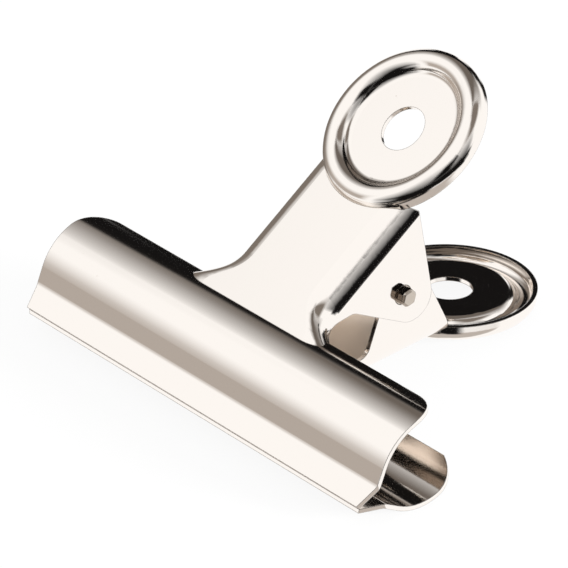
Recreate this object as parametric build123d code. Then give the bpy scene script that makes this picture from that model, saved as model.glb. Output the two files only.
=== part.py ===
from build123d import *
from math import acos, asin, atan, atan2, cos, degrees, hypot, radians, sin, sqrt, tan
import os

# A letter clip of the bulldog kind: two pressed and nickel-plated steel leaves that pivot on one
# staked pin, with a torsion spring round the pin that closes the jaws.
# The leaves are drawn in the clip's own frame: X runs along the pivot pin, Y from the lips to the
# thumb plates and Z out of the mid-plane, on the front leaf's side. The last step lays the clip
# on its rear leaf. All sizes are in millimetres and degrees.

# Sheet
sheet = 0.7
lip_gap = 0.02

# Jaw: a straight lip, a reverse bend, a rising flank and a round barrel with an open edge
jaw_width = 75.0
barrel_flare = 1.1
lip_angle = 22.0
lip_length = 3.4
bend_radius = 1.7
flank_angle = 47.6
flank_length = 2.4
barrel_radius = 9.4
barrel_sweep = 82.0
barrel_corner = 5.2

# Neck: a channel from the barrel to the thumb plate, whose walls flare into the barrel
neck_half_width = 10.4
neck_slope = 15.5
neck_rise = 6.65
neck_corner = 3.6
flare_length = 8.1
flare_spread = 16.6
flare_corner = 12.8
flare_start = 22.75

# Ears: the neck's side walls, drawn down past the pin on both sides
ear_side_gap = 0.15
ear_inner_corner = 2.0
ear_tip_ahead = 1.2
ear_tip_radius = 3.82
ear_top_height = 12.5
front_ear_foot = 25.2
front_ear_foot_height = 3.4
front_ear_tip_height = -1.6
front_ear_top_ahead = 7.3
rear_ear_foot = 25.55
rear_ear_foot_height = 5.75
rear_ear_tip_height = 0.4
rear_ear_top_ahead = 6.45

# Thumb plate: a flat round floor with a hole, inside a raised round rim with a turned-back skirt
plate_reach = 48.35
plate_rise = 17.0
plate_tilt = 20.6
plate_shift = 1.1
plate_hole_radius = 3.6
plate_floor_radius = 8.6
rim_crest_radius = 11.3
rim_height = 1.7
rim_radius = 1.95
skirt_depth = 1.2

# Pivot pin, staked at both ends
pivot_reach = 33.95
pin_radius = 1.5
pin_clearance = 0.05
pin_stub = 3.0
stub_flats = 2.7
stub_from_ear = 0.15
stake_turn = 35.0
stub_chamfer = 0.4
stake_from_ear = 1.35
stake_depth = 0.75
stake_half_angle = 32.0

# Torsion spring
wire_radius = 0.65
coil_clearance = 0.25
coil_turns = 8
coil_pitch = 1.6
arm_gap = 0.06
arm_length = 18.0

# Places along Y, measured from the pivot
lip_end = -pivot_reach
flare_from = lip_end + flare_start
plate_centre = lip_end + plate_reach
plate_radius = rim_crest_radius + rim_radius
rear_inset = sheet + ear_side_gap


def unit(angle):
    return Vector(cos(radians(angle)), sin(radians(angle)))


def jaw_path(inset):
    # the sheet's outer face from the lip to the barrel's open edge, moved inwards by the inset
    out = unit(lip_angle + 90)
    start = Vector(lip_end, lip_gap / 2 + sheet * out.Y) - out * inset
    lip = Line(start, start + unit(lip_angle) * lip_length)
    bend = JernArc(lip @ 1, lip % 1, bend_radius + inset, flank_angle - lip_angle)
    flank = Line(bend @ 1, (bend @ 1) + unit(flank_angle) * flank_length)
    barrel = JernArc(flank @ 1, flank % 1, barrel_radius - inset, -barrel_sweep)
    return [lip, bend, flank, barrel]


def drawn_along_x(sketch, half_width):
    # a sketch of the side view, whose axes are Y and Z, drawn out to both sides
    return extrude(Plane.YZ * sketch, half_width, both=True)


def jaw_outline():
    # the blank is a little narrower at the lip and has two round corners at the open edge
    path = jaw_path(0)
    wide = jaw_width / 2 + barrel_flare
    flare_at = (path[1] @ 1).X
    back = (path[-1] @ 1).X
    right = [(jaw_width / 2, lip_end - sheet), (jaw_width / 2, lip_end), (wide, flare_at), (wide, back)]
    left = [(-x, y) for x, y in reversed(right)]
    outline = make_face(Polyline(*right, *left, close=True))
    corners = outline.vertices().sort_by(Axis.Y)[-2:]
    return fillet(corners, barrel_corner)


def jaw():
    outer, inner = jaw_path(0), jaw_path(sheet)
    ends = [Line(outer[-1] @ 1, inner[-1] @ 1), Line(inner[0] @ 0, outer[0] @ 0)]
    strip = drawn_along_x(make_face(outer + inner + ends), jaw_width)
    return strip & extrude(jaw_outline(), barrel_radius * 2, both=True)


def jaw_inside():
    # all that lies between the lip and the open edge under the sheet
    inner = jaw_path(sheet)
    start, end = inner[0] @ 0, inner[-1] @ 1
    below = Polyline(end, (end.X, -plate_radius), (start.X, -plate_radius), start)
    return drawn_along_x(make_face(inner + [below]), jaw_width)


def neck_height(y):
    return neck_rise + (y - flare_from + flare_length) * tan(radians(neck_slope))


def neck_section(y, half_width, inset):
    # the channel's cross-section: upright sides and a flat floor, joined by round corners
    share = max(0.0, (flare_from - y) / flare_length)
    slope = flare_spread / flare_length * (0.82 * share + 2.36 * share**3)
    half = half_width + flare_spread * (0.41 * share**2 + 0.59 * share**4)
    half -= inset * sqrt(1 + slope**2)
    corner = neck_corner + flare_corner * share**5 - inset
    top = neck_height(y) - inset / cos(radians(neck_slope))
    foot = -plate_radius
    points = [(-half, foot), (-half, top), (half, top), (half, foot)]
    outline = make_face(Polyline(*points, close=True))
    outline = fillet(outline.vertices().sort_by(Axis.Y)[-2:], corner)
    return Plane(origin=(0, y, 0), x_dir=(1, 0, 0), z_dir=(0, -1, 0)) * outline


def neck_block(half_width, inset):
    shares = [1, 0.9, 0.8, 0.7, 0.6, 0.5, 0.4, 0.3, 0.2, 0.1, 0]
    flared = [neck_section(flare_from - share * flare_length, half_width, inset) for share in shares]
    straight = [neck_section(y, half_width, inset) for y in (flare_from, plate_centre)]
    return loft(flared) + loft(straight, ruled=True)


def ear_outline(foot_reach, foot_height, tip_height, top_ahead):
    # what is kept of the channel's sides in the side view
    tip = Pos(ear_tip_ahead, tip_height) * Circle(ear_tip_radius)
    foot = (lip_end + foot_reach, foot_height)
    top = (top_ahead, ear_top_height)
    ear = make_hull(tip.edges() + [Line(foot, top)])
    open_edge = jaw_path(sheet)[-1] @ 1
    ceiling = plate_rise + plate_radius
    upper = make_face(Polyline((lip_end, open_edge.Y), open_edge, foot, (ear_tip_ahead, foot_height),
                               top, (top_ahead, ceiling), (lip_end, ceiling), close=True))
    outline = ear + upper
    corner = outline.vertices().sort_by_distance((*foot, 0))[0]
    return fillet(corner, ear_inner_corner)


def plate_path(inset):
    # the sheet's outer face from the hole to the skirt's edge; X is the radius, Y the height
    rise = 2 * degrees(atan(rim_height / (rim_crest_radius - plate_floor_radius)))
    hollow = (rim_crest_radius - plate_floor_radius) / sin(radians(rise)) - rim_radius
    floor = Line((plate_hole_radius, -inset), (plate_floor_radius, -inset))
    foot = JernArc(floor @ 1, floor % 1, hollow + inset, rise)
    crest = JernArc(foot @ 1, foot % 1, rim_radius - inset, -rise - 90)
    skirt = Line(crest @ 1, ((crest @ 1).X, -skirt_depth))
    return [floor, foot, crest, skirt]


def plate_frame():
    # the plate sits a little to one side of the middle
    return Plane(origin=(plate_shift, plate_centre, plate_rise), x_dir=(1, 0, 0),
                 z_dir=(0, -sin(radians(plate_tilt)), cos(radians(plate_tilt))))


def plate():
    outer, inner = plate_path(0), plate_path(sheet)
    ends = [Line(outer[-1] @ 1, inner[-1] @ 1), Line(inner[0] @ 0, outer[0] @ 0)]
    section = Plane.XZ * make_face(outer + inner + ends)
    return plate_frame() * revolve(section, Axis.Z)


def leaf(half_width, ear):
    outside, inside = neck_block(half_width, 0), neck_block(half_width, sheet)
    plate_room = plate_frame() * Cylinder(plate_radius - sheet / 2, 4 * plate_radius)
    neck = (outside - inside) & drawn_along_x(ear, jaw_width)
    neck = neck - jaw_inside() - plate_room
    pressing = (jaw() - inside) + neck + (plate() - inside)
    holes = Rot(0, 90, 0) * Cylinder(pin_radius + pin_clearance, jaw_width)
    return pressing - holes


def stub_end(side):
    # beyond the ear the pin is pressed to six flats, pinched by a stake and chamfered
    length = pin_stub - stub_from_ear
    hexagon = extrude(RegularPolygon(stub_flats / 2, 6, major_radius=False), length)
    round_end = Pos(0, 0, length / 2) * Cylinder(pin_radius, length)
    round_end = chamfer(round_end.edges().sort_by(Axis.Z)[-1], stub_chamfer)
    hexagon = hexagon & round_end
    mouth = 2 * stake_depth * tan(radians(stake_half_angle))
    middle = stake_from_ear - stub_from_ear
    for turn in (0, 180):
        root, tips = stub_flats / 2 - stake_depth, stub_flats / 2 + stake_depth
        points = [(root, middle), (tips, middle + mouth), (tips, middle - mouth)]
        wedge = make_face(Polyline(*points, close=True))
        notch = extrude(Plane.XZ * wedge, pin_radius, both=True)
        hexagon = hexagon - Rot(0, 0, stake_turn + turn) * notch
    return Pos(side * (neck_half_width + stub_from_ear), 0, 0) * Rot(0, side * 90, 0) * hexagon


def pin():
    shaft = Rot(0, 90, 0) * Cylinder(pin_radius, 2 * (neck_half_width + stub_from_ear))
    return shaft + stub_end(1) + stub_end(-1)


def spring():
    # a left-hand coil whose two arms press outwards on the plates' undersides
    coil_radius = pin_radius + coil_clearance + wire_radius
    away = Vector(-sin(radians(plate_tilt)), cos(radians(plate_tilt)))
    underside = away.dot(Vector(plate_centre, plate_rise)) - sheet
    reach = underside - wire_radius - arm_gap
    span = hypot(coil_radius, arm_length)
    arm_angle = plate_tilt + degrees(atan2(arm_length, coil_radius)) - degrees(acos(reach / span))
    turns = coil_turns - (2 * arm_angle + 180) / 360
    length = turns * coil_pitch
    path = Pos(-length / 2, 0, 0) * Plane.YZ.location * Rot(0, 0, -arm_angle - 90) * Helix(
        coil_pitch, length, coil_radius, lefthand=True)
    coil = sweep(Plane(path @ 0, z_dir=path % 0) * Circle(wire_radius), path, is_frenet=True)
    arm_start = unit(arm_angle + 90) * coil_radius
    arm_end = arm_start + unit(arm_angle) * arm_length
    wire = coil
    for side in (1, -1):
        start = Vector(side * length / 2, arm_start.X, side * arm_start.Y)
        end = Vector(side * length / 2, arm_end.X, side * arm_end.Y)
        arm = extrude(Plane(start, z_dir=end - start) * Circle(wire_radius), arm_length)
        wire = wire + arm + Pos(*start) * Sphere(wire_radius)
    return wire


def resting_turn():
    # the turn about X that lays the rear leaf's barrel and rim on one level
    barrel = jaw_path(0)[-1].arc_center
    rim_out = unit(plate_tilt) * rim_crest_radius
    rim_up = unit(plate_tilt + 90) * (rim_height - rim_radius)
    rim = Vector(plate_centre, plate_rise) + rim_out + rim_up
    run, drop = rim.X - barrel.X, barrel.Y - rim.Y
    lean = asin((rim_radius - barrel_radius) / hypot(run, drop))
    return degrees(lean - atan2(drop, run))


# the rear leaf is a narrower pressing with shorter ears, turned over
front_ear = ear_outline(front_ear_foot, front_ear_foot_height, front_ear_tip_height, front_ear_top_ahead)
rear_ear = ear_outline(rear_ear_foot, rear_ear_foot_height, rear_ear_tip_height, rear_ear_top_ahead)
nodes = {
    "front_leaf": leaf(neck_half_width, front_ear),
    "rear_leaf": Rot(0, 180, 0) * leaf(neck_half_width - rear_inset, rear_ear),
    "pivot_pin": pin(),
    "torsion_spring": spring(),
}
turned = {name: Rot(resting_turn(), 0, 0) * shape for name, shape in nodes.items()}
box = Compound(list(turned.values())).bounding_box()
place = Pos(0, -box.center().Y, -box.min.Z)
os.makedirs("parts", exist_ok=True)
for name, shape in turned.items():
    solid = place * shape
    export_step(solid, f"parts/{name}.step")
    print(name, len(solid.solids()), "solid, volume", round(solid.volume, 1))
print("turned by", round(resting_turn(), 3), "pivot at", [round(v, 3) for v in place.position])
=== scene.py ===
# A nickel-plated letter clip: finishes, spring, pin ends and studio round the CAD frame
import math

import bpy
from mathutils import Matrix, Vector


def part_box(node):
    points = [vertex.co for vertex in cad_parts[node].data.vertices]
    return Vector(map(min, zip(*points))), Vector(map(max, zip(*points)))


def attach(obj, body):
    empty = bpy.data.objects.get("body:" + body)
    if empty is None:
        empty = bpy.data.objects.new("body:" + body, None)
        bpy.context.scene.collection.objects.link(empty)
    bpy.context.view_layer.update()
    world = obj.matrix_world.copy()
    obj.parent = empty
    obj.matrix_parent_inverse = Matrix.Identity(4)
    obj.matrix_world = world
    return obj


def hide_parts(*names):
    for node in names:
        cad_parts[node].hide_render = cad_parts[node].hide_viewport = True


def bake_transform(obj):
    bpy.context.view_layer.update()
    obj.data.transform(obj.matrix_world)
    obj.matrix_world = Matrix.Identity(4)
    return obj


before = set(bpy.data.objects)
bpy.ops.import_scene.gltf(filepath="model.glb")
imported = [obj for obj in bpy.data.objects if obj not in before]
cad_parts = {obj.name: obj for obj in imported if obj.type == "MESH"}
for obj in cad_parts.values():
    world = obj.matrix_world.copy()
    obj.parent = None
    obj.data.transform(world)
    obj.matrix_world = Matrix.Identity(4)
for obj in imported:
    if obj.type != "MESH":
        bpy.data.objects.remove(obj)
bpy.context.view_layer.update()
scene = bpy.context.scene
scene.view_settings.view_transform = "Standard"
print("frame loaded")


# camera, at the place and with the lens that a fit to the photograph gave
cameraSettings = {
    "place": (0.49110688, -0.41408038, 0.37819151),
    "right": (0.64240799, 0.76598463, -0.02407343),
    "down": (0.36634554, -0.33453068, -0.86826273),
    "forward": (-0.67312920, 0.54895972, -0.49552023),
    "lens": 320.27,
    "sensor": 36.0,
    "nearest": 0.05,
    "farthest": 20,
}


def makeCamera(settings):
    data = bpy.data.cameras.new("camera")
    data.lens = settings["lens"]
    data.sensor_width = settings["sensor"]
    data.clip_start = settings["nearest"]
    data.clip_end = settings["farthest"]
    camera = bpy.data.objects.new("camera", data)
    axes = Matrix((settings["right"], -Vector(settings["down"]), -Vector(settings["forward"])))
    camera.matrix_world = Matrix.Translation(settings["place"]) @ axes.transposed().to_4x4()
    scene.collection.objects.link(camera)
    scene.camera = camera


makeCamera(cameraSettings)
print("camera placed")


def linearColour(code):
    # sRGB hex to linear light
    parts = [int(code[i:i + 2], 16) / 255 for i in (1, 3, 5)]
    return [c / 12.92 if c <= 0.04045 else ((c + 0.055) / 1.055) ** 2.4 for c in parts] + [1.0]


def addNode(tree, kind, sockets=None, **options):
    # one node: options are its own settings, and each socket takes another node's output or a value
    node = tree.nodes.new(kind)
    for name, value in options.items():
        setattr(node, name, value)
    for name, source in (sockets or {}).items():
        if isinstance(source, bpy.types.NodeSocket):
            tree.links.new(source, node.inputs[name])
        else:
            node.inputs[name].default_value = source
    return node


def newMaterial(name):
    material = bpy.data.materials.new(name)
    material.use_nodes = True
    material.node_tree.nodes.clear()
    return material, material.node_tree


# bright nickel plate on pressed steel: a mirror with a faint warm tint, slightly wavy where the press
# has drawn the sheet, with painted shade darkening its cut edges and folds, and a few small pits and dust
# specks.
# The hollow of the channel between the ears, which the polish doesn't reach, is satin and tan: its limits
# are in metres, each as where it is full and where it is gone
nickelSettings = {
    "name": "brightNickelPlate",
    "tint": "#FDF7F1",
    "roughness": 0.085,
    "waveMm": 14.0,
    "waveHeight": 0.03,
    "paintedEdgeShadeTint": "#4A423B",
    # painted shade along cut edges and folds: its dark tint, the rounding it is read from, the turn of the
    # normal it spans, and how strongly it darkens
    "edgeMm": 0.17,
    "paintedEdgeShadeTurn": (0.97, 0.80),
    "paintedEdgeShadeShare": 0.9,
    "speckTint": "#A08468",
    "speckMm": 1.5,
    "speckSize": 0.075,
    "speckPatches": 130,
    "speckPatchEdge": (0.54, 0.72),
    "insideTint": "#E3D6C8",
    "insideRoughness": 0.42,
    "insideMetal": 0.25,
    "insideTowardsPin": 0.0012,
    "insideHalfWidth": (0.01033, 0.01034),
    "insideBack": (0.0085, 0.0095),
    "insideTop": (0.028, 0.029),
    "insideFront": (-0.0105, -0.0165),
}
# the pin's drawn and staked steel, nickelled like the leaves but duller, with darker painted shade on its
# edges, and without a hollow
pinSettings = dict(nickelSettings, name="stakedPinNickel", tint="#CDC2B6", roughness=0.16,
                   paintedEdgeShadeTint="#2B2622", paintedEdgeShadeShare=0.85, insideFront=(1.0, 0.9))
# hard-drawn spring wire, with scratches along the draw too fine to show, so a satin
wireSettings = dict(nickelSettings, name="drawnSpringWire", tint="#D8CEC4", roughness=0.24,
                    waveMm=3.0, paintedEdgeShadeShare=0.4, insideFront=(1.0, 0.9))
rangeSockets = ("From Min", "From Max", "To Min", "To Max")
pinPlace = [(low + high) / 2 for low, high in zip(*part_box("pivot_pin"))]


def platedMetal(settings):
    material, tree = newMaterial(settings["name"])
    place = addNode(tree, "ShaderNodeTexCoord").outputs["Object"]
    facing = addNode(tree, "ShaderNodeNewGeometry").outputs["Normal"]

    # the press's waves, on edges that are rounded a little
    wave = addNode(tree, "ShaderNodeTexNoise",
                   {"Vector": place, "Scale": 1000 / settings["waveMm"], "Detail": 1.0})
    rounded = addNode(tree, "ShaderNodeBevel", {"Radius": settings["edgeMm"] / 1000}, samples=6)
    bump = addNode(tree, "ShaderNodeBump",
                   {"Height": wave.outputs["Fac"], "Normal": rounded.outputs["Normal"],
                    "Strength": settings["waveHeight"], "Distance": 0.001})
    # painted shade along cut edges and folds: where the rounded normal turns away from the true one, the
    # colour is mixed towards a dark tint
    along = addNode(tree, "ShaderNodeVectorMath", {0: rounded.outputs["Normal"], 1: facing},
                    operation="DOT_PRODUCT")
    edge = addNode(tree, "ShaderNodeMapRange",
                   {"Value": along.outputs["Value"],
                    **dict(zip(rangeSockets, (*settings["paintedEdgeShadeTurn"], 0, settings["paintedEdgeShadeShare"])))})

    # specks in patches
    cells = addNode(tree, "ShaderNodeTexVoronoi", {"Vector": place, "Scale": 1000 / settings["speckMm"]})
    patchy = addNode(tree, "ShaderNodeTexNoise",
                     {"Vector": place, "Scale": settings["speckPatches"], "Detail": 2.0})
    size = addNode(tree, "ShaderNodeMapRange",
                   {"Value": patchy.outputs["Fac"],
                    **dict(zip(rangeSockets, (*settings["speckPatchEdge"], 0, settings["speckSize"])))})
    speck = addNode(tree, "ShaderNodeMath", {0: cells.outputs["Distance"], 1: size.outputs["Result"]},
                    operation="LESS_THAN")

    # the channel's hollow side, where the surface faces the pin
    inward = addNode(tree, "ShaderNodeVectorMath", {0: pinPlace, 1: place}, operation="SUBTRACT")
    depth = addNode(tree, "ShaderNodeVectorMath", {0: inward.outputs["Vector"], 1: facing},
                    operation="DOT_PRODUCT")
    inside = addNode(tree, "ShaderNodeMath",
                     {0: depth.outputs["Value"], 1: settings["insideTowardsPin"]},
                     operation="GREATER_THAN")
    split = addNode(tree, "ShaderNodeSeparateXYZ", {"Vector": place})
    aside = addNode(tree, "ShaderNodeMath", {0: split.outputs["X"]}, operation="ABSOLUTE")
    for source, limit in ((aside.outputs[0], "insideHalfWidth"), (split.outputs["Y"], "insideBack"),
                          (split.outputs["Z"], "insideTop"), (split.outputs["Y"], "insideFront")):
        within = addNode(tree, "ShaderNodeMapRange",
                         {"Value": source, **dict(zip(rangeSockets, (*settings[limit], 1, 0)))})
        inside = addNode(tree, "ShaderNodeMath", {0: inside.outputs[0], 1: within.outputs["Result"]},
                         operation="MULTIPLY")

    colour = addNode(tree, "ShaderNodeMix",
                     {"Factor": speck.outputs[0], "A": linearColour(settings["tint"]),
                      "B": linearColour(settings["speckTint"])}, data_type="RGBA")
    # the satin hollow's tint, then the painted edge shade over it
    for share, tint in ((inside.outputs[0], "insideTint"), (edge.outputs["Result"], "paintedEdgeShadeTint")):
        colour = addNode(tree, "ShaderNodeMix",
                         {"Factor": share, "A": colour.outputs["Result"],
                          "B": linearColour(settings[tint])}, data_type="RGBA")
    rough, metallic = (addNode(tree, "ShaderNodeMapRange",
                               {"Value": inside.outputs[0], "To Min": outer, "To Max": inner})
                       for outer, inner in ((settings["roughness"], settings["insideRoughness"]),
                                            (1.0, settings["insideMetal"])))
    metal = addNode(tree, "ShaderNodeBsdfPrincipled",
                    {"Normal": bump.outputs["Normal"], "Base Color": colour.outputs["Result"],
                     "Metallic": metallic.outputs["Result"], "Roughness": rough.outputs["Result"]})
    addNode(tree, "ShaderNodeOutputMaterial", {"Surface": metal.outputs["BSDF"]})
    return material


def finish(piece, material):
    piece.data.materials.clear()
    piece.data.materials.append(material)


nickel = platedMetal(nickelSettings)
pinNickel = platedMetal(pinSettings)
springWire = platedMetal(wireSettings)
for name, material in (("front_leaf", nickel), ("rear_leaf", nickel), ("pivot_pin", pinNickel),
                       ("torsion_spring", springWire)):
    finish(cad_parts[name], material)
print("finishes made")


def pickOnly(piece):
    bpy.ops.object.select_all(action="DESELECT")
    piece.select_set(True)
    bpy.context.view_layer.objects.active = piece


# the spring as one smooth wire
springSettings = {
    "joinWithin": 1e-6,
    "smoothTo": 40,
    "coilFrom": (-0.0055, 0, 0.014),
    "coilTo": (0.0055, 0, 0.014),
}


def makeSpring(settings):
    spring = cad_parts["torsion_spring"].copy()
    spring.data = spring.data.copy()
    spring.name = "wound_spring"
    spring.parent = None
    spring.hide_render = False
    scene.collection.objects.link(spring)
    pickOnly(spring)
    bpy.ops.object.mode_set(mode="EDIT")
    bpy.ops.mesh.select_all(action="SELECT")
    bpy.ops.mesh.remove_doubles(threshold=settings["joinWithin"])
    bpy.ops.object.mode_set(mode="OBJECT")
    bpy.ops.object.shade_smooth_by_angle(angle=math.radians(settings["smoothTo"]))
    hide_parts("torsion_spring")
    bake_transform(spring)


# the pin: a round shaft through the ears, and past each ear a short end pressed to six flats and
# chamfered; turn and smoothTo are degrees
pinPieceSettings = {
    "radius": 0.0015,
    "halfLength": 0.01035,
    "acrossFlats": 0.0026,
    "stub": 0.0016,
    "chamfer": 0.0003,
    "turn": 12,
    "smoothTo": 20,
}


def makePin(settings):
    half, stub = settings["halfLength"], settings["stub"]
    corner = settings["acrossFlats"] / math.sqrt(3)
    parts = []
    for sides, radius, start, end in ((48, settings["radius"], -half, half),
                                      (6, corner, half, half + stub),
                                      (6, corner, -half - stub, -half)):
        bpy.ops.object.select_all(action="DESELECT")
        bpy.ops.mesh.primitive_cylinder_add(vertices=sides, radius=radius, depth=end - start)
        part = bpy.context.object
        if sides == 6:
            bpy.ops.object.mode_set(mode="EDIT")
            bpy.ops.mesh.select_all(action="SELECT")
            bpy.ops.mesh.bevel(offset=settings["chamfer"], segments=1)
            bpy.ops.object.mode_set(mode="OBJECT")
        along = pinPlace[0] + (start + end) / 2
        part.data.transform(Matrix.Rotation(math.radians(settings["turn"]), 4, "Z"))
        part.data.transform(Matrix.Rotation(math.radians(90), 4, "Y"))
        part.data.transform(Matrix.Translation((along, pinPlace[1], pinPlace[2])))
        parts.append(part)
    for part in parts:
        part.select_set(True)
    bpy.context.view_layer.objects.active = parts[0]
    bpy.ops.object.join()
    pin = bpy.context.object
    pin.name = "staked_pin"
    pickOnly(pin)
    bpy.ops.object.shade_smooth_by_angle(angle=math.radians(settings["smoothTo"]))
    finish(pin, pinNickel)
    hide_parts("pivot_pin")
    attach(pin, "rear")


makeSpring(springSettings)
makePin(pinPieceSettings)
print("spring and pin made")


# floor, a plain white sheet that keeps a part of the clip's soft shadow
floorSettings = {"width": 4.0, "colour": "#F4F4F4", "whiteToCamera": 0.9, "whiteToMetal": 0.35}


def makeFloor(settings):
    bpy.ops.object.select_all(action="DESELECT")
    bpy.ops.mesh.primitive_plane_add(size=settings["width"], location=(0, 0, 0))
    floor = bpy.context.object
    floor.name = "floor"
    material, tree = newMaterial("whitePaperFloor")
    paper = addNode(tree, "ShaderNodeBsdfDiffuse", {"Color": linearColour(settings["colour"])})
    white = addNode(tree, "ShaderNodeEmission", {"Strength": 1.0})
    path = addNode(tree, "ShaderNodeLightPath")
    seen, bright = (addNode(tree, "ShaderNodeMath", {0: path.outputs[ray], 1: settings[share]},
                            operation="MULTIPLY")
                    for ray, share in (("Is Camera Ray", "whiteToCamera"),
                                       ("Is Glossy Ray", "whiteToMetal")))
    share = addNode(tree, "ShaderNodeMath", {0: seen.outputs[0], 1: bright.outputs[0]},
                    operation="MAXIMUM")
    mixed = addNode(tree, "ShaderNodeMixShader",
                    {"Fac": share.outputs[0], 1: paper.outputs[0], 2: white.outputs[0]})
    addNode(tree, "ShaderNodeOutputMaterial", {"Surface": mixed.outputs[0]})
    floor.data.materials.append(material)
    floor.visible_glossy = False


# plain soft light from all round; camera, mirror and glass rays see white
worldSettings = {"level": 0.9, "colour": "#FFFFFF"}


def makeWorld(settings):
    world = bpy.data.worlds.new("studio")
    world.use_nodes = True
    tree = world.node_tree
    tree.nodes.clear()
    rays = addNode(tree, "ShaderNodeLightPath").outputs
    seen = rays["Is Camera Ray"]
    for ray in ("Is Glossy Ray", "Is Transmission Ray"):
        seen = addNode(tree, "ShaderNodeMath", {0: seen, 1: rays[ray]}, operation="MAXIMUM").outputs[0]
    light, white = (addNode(tree, "ShaderNodeBackground",
                            {"Strength": level, "Color": linearColour(settings["colour"])})
                    for level in (settings["level"], 1.0))
    mixed = addNode(tree, "ShaderNodeMixShader",
                    {"Fac": seen, 1: light.outputs[0], 2: white.outputs[0]})
    addNode(tree, "ShaderNodeOutputWorld", {"Surface": mixed.outputs[0]})
    scene.world = world


# a low lamp from the right that lights the channel's satin inside, and that no mirror shows; its azimuth,
# height and spread are degrees
lampSettings = {"azimuth": 28, "height": 14, "strength": 6.0, "spread": 20}


def makeLamp(settings):
    data = bpy.data.lights.new("channelLamp", "SUN")
    data.energy = settings["strength"]
    data.angle = math.radians(settings["spread"])
    lamp = bpy.data.objects.new("channelLamp", data)
    lamp.rotation_euler = (math.radians(90 - settings["height"]), 0, math.radians(90 + settings["azimuth"]))
    lamp.visible_glossy = False
    scene.collection.objects.link(lamp)


# cards round the clip that only the plate's mirror sees, as black, grey and white bands. Each spans
# two azimuths and two heights, and fades over soft at its left, right, low and high edges, all in
# degrees; fade under 1 makes the edge darken fast, reach is metres, and a card with bounces 2 is seen
# only by light that has met the metal twice, such as the ear's image in the barrel
cardSteps = 72
cardSettings = [
    {"name": "greyTable", "grey": "#BDB6B0", "reach": 0.96, "fade": 1.0,
     "azimuth": (-185, 30), "height": (-89, -27), "soft": (8, 8, 6, 6)},
    {"name": "greyWallRight", "grey": "#7C746D", "reach": 0.93, "fade": 1.0,
     "azimuth": (-28, 75), "height": (40, 98), "soft": (35, 14, 12, 16)},
    {"name": "greyWallBehind", "grey": "#6A635D", "reach": 0.9, "fade": 0.65,
     "azimuth": (60, 196), "height": (24, 98), "soft": (46, 46, 16, 16)},
    {"name": "greyScreenLeft", "grey": "#B3ABA4", "reach": 0.87, "fade": 1.3,
     "azimuth": (-190, -112), "height": (-17, 27), "soft": (8, 8, 8, 21)},
    {"name": "greyEdgeBehind", "grey": "#7C746D", "reach": 0.84, "fade": 1.0,
     "azimuth": (150, 208), "height": (-38, 47), "soft": (6, 24, 8, 20)},
    {"name": "darkPostBehind", "grey": "#1C1A19", "reach": 0.81, "fade": 1.0,
     "azimuth": (97, 124), "height": (-22, 30), "soft": (7, 7, 7, 7)},
    {"name": "darkCardBehind", "grey": "#151414", "reach": 0.78, "fade": 1.0,
     "azimuth": (100, 170), "height": (17, 40), "soft": (12, 12, 2.5, 2.5)},
    {"name": "darkStripBehind", "grey": "#151414", "reach": 0.75, "fade": 1.0,
     "azimuth": (126, 143), "height": (6, 24), "soft": (3, 3, 2, 2)},
    {"name": "darkPatchInFront", "grey": "#141313", "reach": 0.72, "fade": 0.8,
     "azimuth": (-54, -10), "height": (2, 47), "soft": (14, 10, 10, 14)},
    {"name": "darkFloorInFront", "grey": "#141313", "reach": 0.705, "fade": 1.0,
     "azimuth": (-106, -20), "height": (-46, -15), "soft": (14, 10, 8, 8)},
    {"name": "darkRoomAbove", "grey": "#141313", "reach": 0.69, "fade": 0.7,
     "azimuth": (-108, 30), "height": (-10, 50), "soft": (30, 12, 8, 50)},
    {"name": "darkRoomInFront", "grey": "#141313", "reach": 0.66, "fade": 1.0,
     "azimuth": (-108, 39), "height": (-27, 8), "soft": (30, 8, 5, 7)},
    {"name": "darkRoomTwiceSeen", "grey": "#141313", "reach": 0.63, "fade": 1.0,
     "azimuth": (-75, 120), "height": (-30, 100), "soft": (12, 12, 6, 12), "bounces": 2},
]


def makeCard(settings):
    bpy.ops.object.select_all(action="DESELECT")
    bpy.ops.mesh.primitive_grid_add(x_subdivisions=cardSteps, y_subdivisions=cardSteps, size=2,
                                    location=(0, 0, 0))
    card = bpy.context.object
    card.name = settings["name"]
    cover = card.data.attributes.new("cover", "FLOAT", "POINT")
    for vertex, value in zip(card.data.vertices, cover.data):
        share, turned = 1, []
        for i, key in enumerate(("azimuth", "height")):
            low, high = settings[key]
            softLow, softHigh = settings["soft"][2 * i:2 * i + 2]
            angle = low + (high - low) * (vertex.co[i] + 1) / 2
            share *= min(1, (angle - low) / softLow) ** settings["fade"]
            share *= min(1, (high - angle) / softHigh) ** settings["fade"]
            turned.append(math.radians(angle))
        value.value = share
        azimuth, height = turned
        vertex.co = settings["reach"] * Vector((math.cos(azimuth) * math.cos(height),
                                                math.sin(azimuth) * math.cos(height), math.sin(height)))
    for ray in ("camera", "diffuse", "shadow", "transmission"):
        setattr(card, "visible_" + ray, False)
    material, tree = newMaterial(settings["name"])
    painted = addNode(tree, "ShaderNodeAttribute", attribute_name="cover")
    clear = addNode(tree, "ShaderNodeBsdfTransparent")
    grey = addNode(tree, "ShaderNodeEmission",
                   {"Color": linearColour(settings["grey"]), "Strength": 1.0})
    path = addNode(tree, "ShaderNodeLightPath")
    late = addNode(tree, "ShaderNodeMath",
                   {0: path.outputs["Ray Depth"], 1: settings.get("bounces", 1) - 0.5},
                   operation="GREATER_THAN")
    share = addNode(tree, "ShaderNodeMath", {0: painted.outputs["Fac"], 1: late.outputs[0]},
                    operation="MULTIPLY")
    mixed = addNode(tree, "ShaderNodeMixShader",
                    {"Fac": share.outputs[0], 1: clear.outputs[0], 2: grey.outputs[0]})
    addNode(tree, "ShaderNodeOutputMaterial", {"Surface": mixed.outputs[0]})
    card.data.materials.append(material)


makeFloor(floorSettings)
makeWorld(worldSettings)
makeLamp(lampSettings)
for settings in cardSettings:
    makeCard(settings)
print("studio made")
